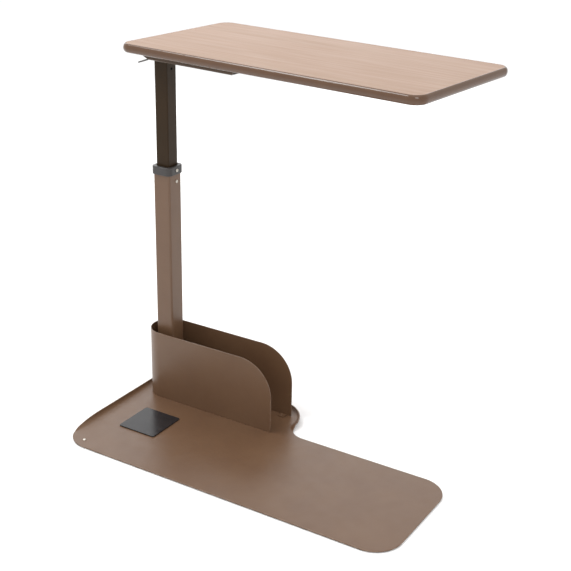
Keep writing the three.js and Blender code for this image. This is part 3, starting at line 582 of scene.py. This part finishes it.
def add_rivet(node, slot):
    """A domed rivet: a broad thin skirt under a smooth dome, on a plain shank."""
    low, high = span(node)
    middle = (low + high) / 2
    radius = (high.x - low.x) / 2
    height = 2.0
    skirt = 0.35
    seat = high.z - height
    angles = [math.radians(a) for a in (0, 15, 30, 45, 60, 72, 82)]
    dome = [(radius * math.cos(a), seat + skirt + (height - skirt) * math.sin(a)) for a in angles]
    profile = [(SHANK, low.z), (SHANK, seat), (radius, seat), *dome]
    made_piece(f"{node}_head", turned(profile, middle.x, middle.y, 32), "base", slot, [node], sharp=50)


# ---------------------------------------------------------------- pocket


def free_edge(low, high):
    """The upper edge of one panel from its foot at the mouth back to the mast, as (x, z, outward x,
    outward z)."""
    foot_corner = 3.0
    stations = []

    def arc(cx, cz, radius, start, end, steps):
        for k in range(steps + 1):
            angle = math.radians(start + (end - start) * k / steps)
            out = (math.cos(angle), math.sin(angle))
            stations.append((cx + radius * out[0], cz + radius * out[1], *out))

    arc(high.x - foot_corner, low.z + foot_corner, foot_corner, -80, 0, 5)
    middle = (low.z + high.z - POCKET_CORNER) / 2
    stations.append((high.x, middle, 1.0, 0.0))
    arc(high.x - POCKET_CORNER, high.z - POCKET_CORNER, POCKET_CORNER, 0, 90, 32)
    stations.append(((high.x - POCKET_CORNER) / 2, high.z, 0.0, 1.0))
    return stations


def add_pocket():
    low, high = span("pocket_shell")
    radius = high.y
    edge = 0.5
    turns = [math.radians(30 * k) for k in range(4)]
    stations = free_edge(low, high)
    mouth = stations[0][0] - 1.0
    straight = len(stations)

    def ring(place, station, foot):
        """The section at one station. place turns a distance along the wall and a depth into x and y."""
        along, z, out_along, out_z = station
        section = [(foot, low.z, 0.0)]
        for back, depth in (
            [(3.0, 0.0)]
            + [(edge * (1 - math.sin(a)), edge * (1 - math.cos(a))) for a in turns]
            + [(edge * (1 - math.cos(a)), POCKET_SHEET - edge * (1 - math.sin(a))) for a in turns]
            + [(3.0, POCKET_SHEET)]
        ):
            section.append((along - out_along * back, max(z - out_z * back, low.z), depth))
        section.append((foot, low.z, POCKET_SHEET))
        return [(*place(s, depth), height) for s, height, depth in section]

    def foot_of(k):
        return mouth * (1 - k / straight)

    def front(s, depth):
        return s, -radius + depth

    def back(s, depth):
        return s, radius - depth

    rings = [ring(front, station, foot_of(k)) for k, station in enumerate(stations)]
    bends = 40
    for k in range(bends + 1):
        angle = math.radians(-90 - 180 * k / bends)

        def round_end(s, depth, angle=angle):
            return (radius - depth) * math.cos(angle), (radius - depth) * math.sin(angle)

        rings.append(ring(round_end, (0.0, high.z, 0.0, 1.0), 0.0))
    rings += [ring(back, station, foot_of(k)) for k, station in reversed(list(enumerate(stations)))]

    wall = solid(rings)
    layer = wall.verts.layers.float["wear"]
    for vertex in wall.verts:
        outside = vertex.co.z > high.z - 1.2 or vertex.co.x > high.x - 1.2
        corner = Vector((vertex.co.x - high.x + POCKET_CORNER, vertex.co.z - high.z + POCKET_CORNER))
        on_corner = min(corner) > 0 and corner.length > POCKET_CORNER - 1.2
        vertex[layer] = 0.6 if outside or on_corner else 0.0
    tabs = [foot_tab(span(f"pocket_rivet_{k + 1}"), radius, low.z) for k in range(4)]
    pocket = combined(wall, tabs, "UNION")
    made_piece("pocket_wall", pocket, "base", "powder_coat", ["pocket_shell"], sharp=40)


def foot_tab(rivet_span, radius, foot):
    """A tab bent inwards from the wall's foot, with rounded corners, as wide as its rivet needs."""
    middle = (rivet_span[0] + rivet_span[1]) / 2
    side = math.copysign(1.0, middle.y)
    half = 9.0
    outer = radius - POCKET_SHEET / 2
    tip = abs(middle.y) - 8.0
    corners = [(middle.x - half, side * outer), (middle.x + half, side * outer),
               (middle.x + half, side * tip), (middle.x - half, side * tip)]
    return prism(rounded(corners, [0, 0, 4.0, 4.0], 6), "Z", foot, foot + POCKET_SHEET)


# ---------------------------------------------------------------- mast


def tube_wall(outline, wall, z0, z1):
    """A tube with softly rounded ends, rubbed at the upper one."""
    worn = 2.5  # how far down from the end the rubbed stretch fades out
    corners = [(0.0, z0), (wall, z0), (wall, z1), (0.0, z1), (0.0, z1 - worn)]
    section = rounded(corners, [0.5, 0.5, 0.5, 0.5, 0.0], 3)
    wear = [1.0 if z > z1 - 1 and inset < wall / 2 + 0.1 else 0.0 for inset, z in section]
    return band(outline, section, wear)


def screw_head(radius, height, seat, shank, tip, point=0.0):
    """A pan head with a cross recess on a shank, pointing down its own Z: the head is above seat."""
    angles = [math.radians(a) for a in (0, 20, 40, 55, 70, 80)]
    crown = [(radius * math.cos(a) ** 0.6, seat + height * (0.25 + 0.75 * math.sin(a))) for a in angles]
    shaft = [(0.3, tip), (shank, tip + point)] if point else [(shank, tip)]
    body = turned([*shaft, (shank, seat), (radius - 0.2, seat), *crown], steps=32)
    depth = height * 0.7
    top = seat + height
    arms = []
    for long_x in (True, False):
        reach, half = radius * 0.55, radius * 0.13
        size = (reach, half) if long_x else (half, reach)
        rings = []
        for share, z in ((0.55, top - depth), (1.0, top + 0.5)):
            x, y = (size[0] * share, size[1]) if long_x else (size[0], size[1] * share)
            rings.append([(-x, -y, z), (x, -y, z), (x, y, z), (-x, y, z)])
        arms.append(solid(rings))
    return combined(body, arms)


def add_side_screw(node, body, slot):
    """A pan-head screw in a face that looks along +X."""
    low, high = span(node)
    middle = (low + high) / 2
    radius = (high.z - low.z) / 2
    screw = screw_head(radius, SCREW_HEAD, high.x - SCREW_HEAD, SHANK, low.x)
    screw.transform(Matrix.Rotation(math.radians(90), 4, "Y"))
    screw.transform(Matrix.Translation((0.0, middle.y, middle.z)))
    made_piece(f"{node}_driven", screw, body, slot, [node])


def add_mast():
    low, high = span("outer_tube")
    outer = rounded_rectangle(low, high, OUTER_CORNER)
    holes = []
    for name in ("collar_screw", "guide_screw"):
        screw = middle_of(name)
        holes.append(bar("X", SCREW_HOLE, high.x - 4, high.x + 2, (screw.y, screw.z)))
    tube = combined(tube_wall(outer, TUBE_WALL, low.z, high.z), holes)
    made_piece("mast_outer", tube, "base", "powder_coat", ["outer_tube"])
    made_piece("mast_weld", weld_bead(outer, low.z), "base", "powder_coat", [])

    low, high = span("inner_tube")
    plug_screw = middle_of("plug_screw")
    hole = bar("X", PLUG_HOLE, high.x - 4, high.x + 2, (plug_screw.y, plug_screw.z))
    inner = rounded_rectangle(low, high, INNER_CORNER)
    tube = combined(tube_wall(inner, TUBE_WALL, low.z, high.z), [hole])
    made_piece("mast_inner", tube, "mast", "dark_powder_coat", ["inner_tube"])

    add_collar()
    add_side_screw("collar_screw", "base", "zinc")
    add_side_screw("guide_screw", "base", "zinc")


def weld_bead(outline, z):
    """A low rippled bead where the outer tube stands on its flange."""
    size = 3.2
    ripple = 1.6
    outer = outline(-size)
    ring_count = 7
    rings = []
    for k in range(ring_count):
        angle = math.radians(90 * k / (ring_count - 1))
        reach, height = size * math.cos(angle) ** 1.2, size * math.sin(angle) ** 1.2
        ring = []
        for i, (x, y) in enumerate(outline(-reach)):
            lift = 1 + 0.12 * noise.noise(Vector(outer[i]).to_3d() / ripple)
            ring.append((x, y, z + height * lift))
        rings.append(ring)
    rings.append(at_height(outline(0.4), z + size * 0.9))
    rings.append(at_height(outline(0.4), z))
    return solid(rings, loop=True)


def add_collar():
    """The moulded collar, rounded all over, with a bevelled mouth round the inner tube and a spot face for
    its screw."""
    low, high = span("collar")
    outer_high = span("outer_tube")[1]
    inner_high = span("inner_tube")[1]
    skirt = high.x - outer_high.x - 0.3
    mouth = high.x - inner_high.x - 0.7
    shelf = outer_high.z + 0.3
    lead = 1.4
    corners = [(0.0, low.z), (skirt, low.z), (skirt, shelf), (mouth, shelf), (mouth, high.z - lead),
               (mouth - lead, high.z), (0.0, high.z)]
    section = rounded(corners, [0.8, 0.5, 0.3, 0.3, 0.4, 0.5, 1.6], 5)
    collar = band(rounded_rectangle(low, high, COLLAR_CORNER, 12, INNER_CORNER + 0.5), section)
    screw = middle_of("collar_screw")
    spot_face = bar("X", 5.2, high.x - 0.5, high.x + 2, (screw.y, screw.z))
    hole = bar("X", SCREW_HOLE, high.x - 5, high.x + 2, (screw.y, screw.z))
    made_piece("mast_collar", combined(collar, [spot_face, hole]), "base", "grey_plastic", ["collar"])


# ---------------------------------------------------------------- top


def add_top():
    low, high = span("edge_band", SWIVEL)
    outline = rounded_rectangle(low, high, TOP_CORNER, 20)
    middle = (low.z + high.z) / 2
    half = (high.z - low.z) / 2
    nose = []
    steps = 20
    for k in range(steps + 1):
        angle = math.radians(-90 + 180 * k / steps)
        nose.append((BAND_DEPTH * (1 - math.cos(angle)), middle + half * math.sin(angle)))
    tip = BAND_DEPTH + BARB_DEPTH
    barb = [(BAND_DEPTH, middle + BARB_HALF), (tip, middle + BARB_HALF),
            (tip, middle - BARB_HALF), (BAND_DEPTH, middle - BARB_HALF)]
    made_piece("top_edging", band(outline, [*nose, *barb]), "top", "edging", ["edge_band"], SWIVEL)

    for node, name, slot, edge in (
        ("top_laminate", "top_face", "laminate", 0.25),
        ("top_backer", "top_underside", "backing", 0.15),
    ):
        low, high = span(node, SWIVEL)
        radius = TOP_CORNER - BAND_DEPTH
        sheet = slab(rounded_rectangle(low, high, radius, 20), low.z, high.z, edge, 2)
        made_piece(name, sheet, "top", slot, [node], SWIVEL)

    add_bracket()
    add_lever()
    for name in [name for name in frame["nodes"] if name.startswith("bracket_screw")]:
        low, high = span(name, SWIVEL)
        middle = (low + high) / 2
        radius = (high.x - low.x) / 2
        screw = screw_head(radius, SCREW_HEAD, -low.z - SCREW_HEAD, SHANK, -high.z, 3.0)
        screw.transform(Matrix.Translation((middle.x, middle.y, 0.0)) @ Matrix.Rotation(math.pi, 4, "X"))
        made_piece(f"{name}_driven", screw, "top", "zinc", [name], SWIVEL)


def folded(path, thickness, radius, steps=5):
    """The closed outline of a strip bent along a path, with the inside of each bend rounded to radius."""
    middle = radius + thickness / 2
    points = [Vector(point) for point in path]
    line = rounded(points, [0, *[middle] * (len(points) - 2), 0], steps)
    left, right = [], []
    for i, point in enumerate(line):
        before = line[max(i - 1, 0)]
        after = line[min(i + 1, len(line) - 1)]
        along = (after - before).normalized()
        across = Vector((-along.y, along.x)) * thickness / 2
        left.append(point + across)
        right.append(point - across)
    return [*left, *reversed(right)]


def add_bracket():
    low, high = span("swivel_bracket", SWIVEL)
    web = low.z
    half = BRACKET_SHEET / 2
    wall = high.y - BRACKET_FLANGE - half
    path = [(-high.y, high.z - half), (-wall, high.z - half), (-wall, web + half),
            (wall, web + half), (wall, high.z - half), (high.y, high.z - half)]
    channel = prism(folded(path, BRACKET_SHEET, 1.5), "X", low.x - 1, high.x + 1)
    flange_low = high.z - BRACKET_SHEET - 1.2
    cheek_low = web + CHEEK_RISE
    side = [(BRACKET_LEFT, web - 1), (high.x - BRACKET_SLANT, web - 1), (high.x, flange_low),
            (high.x, high.z + 1), (low.x, high.z + 1), (low.x, cheek_low)]
    shaped = combined(channel, [prism(side, "Y", -high.y - 1, high.y + 1)], "INTERSECT")
    cut_back = [(CHEEK_CUT, web - 1), (low.x, cheek_low), (low.x - 1, cheek_low), (low.x - 1, web - 1)]
    cut_backs = [prism(cut_back, "Y", -high.y - 1, -NOSE_HALF), prism(cut_back, "Y", NOSE_HALF, high.y + 1)]
    pin_middle = middle_of("lever_pin", SWIVEL)
    holes = [
        *cut_backs,
        bar("Z", POST_RADIUS + PLAY, web - 1, web + 5),
        bar("Y", PIN_RADIUS + PLAY, -high.y, high.y, (pin_middle.x, pin_middle.z)),
    ]
    for name in [name for name in frame["nodes"] if name.startswith("bracket_screw")]:
        middle = middle_of(name, SWIVEL)
        holes.append(bar("Z", 2.4, high.z - 5, high.z + 1, (middle.x, middle.y), 24))
    bracket = combined(shaped, holes)
    coat = FINISHES["bracket_coat"]
    piece("bracket_channel", bracket, "top", coat, ["swivel_bracket"], SWIVEL, 0.4, 50)

    low, high = span("lever_pin", SWIVEL)
    head = 1.8
    head_radius = PIN_RADIUS + 1.6
    profile = [(1.7, low.y), (PIN_RADIUS, low.y + 0.3), (PIN_RADIUS, high.y - head),
               (head_radius, high.y - head), (head_radius, high.y - 0.6), (head_radius - 0.5, high.y - 0.1),
               (PIN_RADIUS, high.y)]
    rod = turned(profile, steps=24)
    lying = Matrix.Rotation(math.radians(-90), 4, "X")
    rod.transform(Matrix.Translation((pin_middle.x, 0.0, pin_middle.z)) @ lying)
    made_piece("lever_pin_rod", rod, "top", "zinc", ["lever_pin"], SWIVEL)


def add_lever():
    """A pressed strip: an arm over the mast's axis, a knuckle round the pin, and a handle with a round
    tip."""
    low, high = span("release_lever", SWIVEL)
    pin_middle = middle_of("lever_pin", SWIVEL)
    x, z = pin_middle.x, pin_middle.z
    half = high.y
    arm_top = z + LEVER_KNUCKLE

    def knuckle(start, end, steps=14):
        angles = [math.radians(start + (end - start) * k / steps) for k in range(steps + 1)]
        return [(x + LEVER_KNUCKLE * math.cos(a), z + LEVER_KNUCKLE * math.sin(a)) for a in angles]

    corners = [(along, z - drop) for along, drop in (LEVER_START, LEVER_BEND, LEVER_TIP)]
    handle = rounded(corners, [0, 12.0, 0], 4)
    lean = 0.8
    under = [(across - lean, up - LEVER_SHEET) for across, up in reversed(handle)]
    side = [(high.x, arm_top - LEVER_SHEET), (high.x, arm_top), *knuckle(90, 200), *handle, *under,
            *knuckle(225, 360), (x + LEVER_KNUCKLE, arm_top - LEVER_SHEET)]
    strip = prism(side, "Y", -half, half)
    plan = [(low.x - 1, -half), (high.x + 1, -half), (high.x + 1, half), (low.x - 1, half)]
    tip = prism(rounded(plan, [half * 0.8, 0, 0, half * 0.8], 10), "Z", low.z - 2, high.z + 2)
    strip = combined(strip, [tip], "INTERSECT")
    lever = combined(strip, [bar("Y", PIN_RADIUS + PLAY, -half - 1, half + 1, (x, z))])
    made_piece("lever_strip", lever, "lever", "dark_steel", ["release_lever"], SWIVEL, 0.35, 50)


# ---------------------------------------------------------------- carried-over CAD nodes

KEPT = {
    "mast_flange": "dark_steel",
    "upper_bush": "nylon",
    "lock_rod": "zinc",
    "lock_rod_nut": "zinc",
    "lower_shoe": "nylon",
    "lock_housing": "dark_steel",
    "lock_spring": "zinc",
    "release_rod_guide": "nylon",
    "top_plug": "dark_steel",
    "plug_screw": "black_oxide",
    "pivot_post": "zinc",
    "swivel_washer": "nylon",
    "pivot_washer": "zinc",
    "pivot_nut": "zinc",
    "lock_plate_lower": "dark_steel",
    "lock_plate_upper": "dark_steel",
    "release_rod": "zinc",
    "top_core": "chipboard",
}


def finish_kept_nodes():
    """Gives each CAD node that still shows its material."""
    kept = dict(KEPT)
    kept.update({f"flange_bolt_{k + 1}": "zinc" for k in range(4)})
    for node, slot in kept.items():
        for held in frame["nodes"][node].material_slots:
            held.material = FINISHES[slot]


# ---------------------------------------------------------------- floor, light and camera


def add_floor():
    side = 400.0
    bm = bmesh.new()
    bmesh.ops.create_grid(bm, x_segments=8, y_segments=8, size=side / 2)
    mesh = bpy.data.meshes.new("floor")
    bm.to_mesh(mesh)
    bm.free()
    made = Finish("floor", 0.7)
    pale = (0.94, 0.94, 0.94, 1.0)
    shaded = (0.92, 0.92, 0.92, 1.0)
    made.to_shader("Base Color", made.mixed(made.noise(1.5, 2.0), pale, shaded))
    mesh.materials.append(made.material)
    floor = bpy.data.objects.new("floor", mesh)
    bpy.context.scene.collection.objects.link(floor)


def add_light(name, place, target, size, power):
    lamp = bpy.data.lights.new(name, "AREA")
    lamp.shape = "RECTANGLE"
    lamp.size, lamp.size_y = size
    lamp.energy = power
    made = bpy.data.objects.new(name, lamp)
    made.location = place
    made.rotation_euler = (Vector(target) - Vector(place)).to_track_quat("-Z", "Y").to_euler()
    bpy.context.scene.collection.objects.link(made)


def add_studio():
    world = bpy.data.worlds.new("studio")
    world.use_nodes = True
    background = world.node_tree.nodes["Background"]
    background.inputs["Color"].default_value = (1.0, 1.0, 1.0, 1.0)
    background.inputs["Strength"].default_value = 0.92
    scene = bpy.context.scene
    scene.world = world
    scene.view_settings.view_transform = "Standard"
    target = (0.25, -0.1, 0.3)
    add_light("softbox", (2.1, -1.7, 2.2), target, (0.9, 0.9), 14)
    add_light("backdrop", (-1.7, 2.6, 1.4), target, (4.5, 2.4), 33)
    add_light("strip", (-1.2, -0.85, 2.95), (0.5, -0.1, 0.9), (1.4, 1.1), 42)
    ceiling = bpy.data.lights.new("ceiling", "SUN")
    ceiling.energy = 0.55
    ceiling.angle = math.radians(60)
    scene.collection.objects.link(bpy.data.objects.new("ceiling", ceiling))


def add_camera():
    azimuth, pitch, roll = (math.radians(a) for a in (31.24, 22.56, 1.19))
    across = math.cos(pitch)
    ahead = Vector((-math.sin(azimuth) * across, math.cos(azimuth) * across, -math.sin(pitch)))
    level = ahead.cross(Vector((0.0, 0.0, 1.0))).normalized()
    upright = level.cross(ahead)
    right = math.cos(roll) * level + math.sin(roll) * upright
    up = math.cos(roll) * upright - math.sin(roll) * level
    data = bpy.data.cameras.new("camera")
    data.sensor_width = 36.0
    data.lens = 73.26
    camera = bpy.data.objects.new("camera", data)
    camera.matrix_world = Matrix((right, up, -ahead)).transposed().to_4x4()
    camera.location = (1.5736, -2.0576, 1.3606)
    bpy.context.scene.collection.objects.link(camera)
    bpy.context.scene.camera = camera


add_camera()
add_studio()
add_floor()
add_base()
for k in range(2):
    add_rivet(f"glide_rivet_{k + 1}", "zinc")
for k in range(4):
    add_rivet(f"pocket_rivet_{k + 1}", "powder_coat")
add_pocket()
add_mast()
add_top()
finish_kept_nodes()
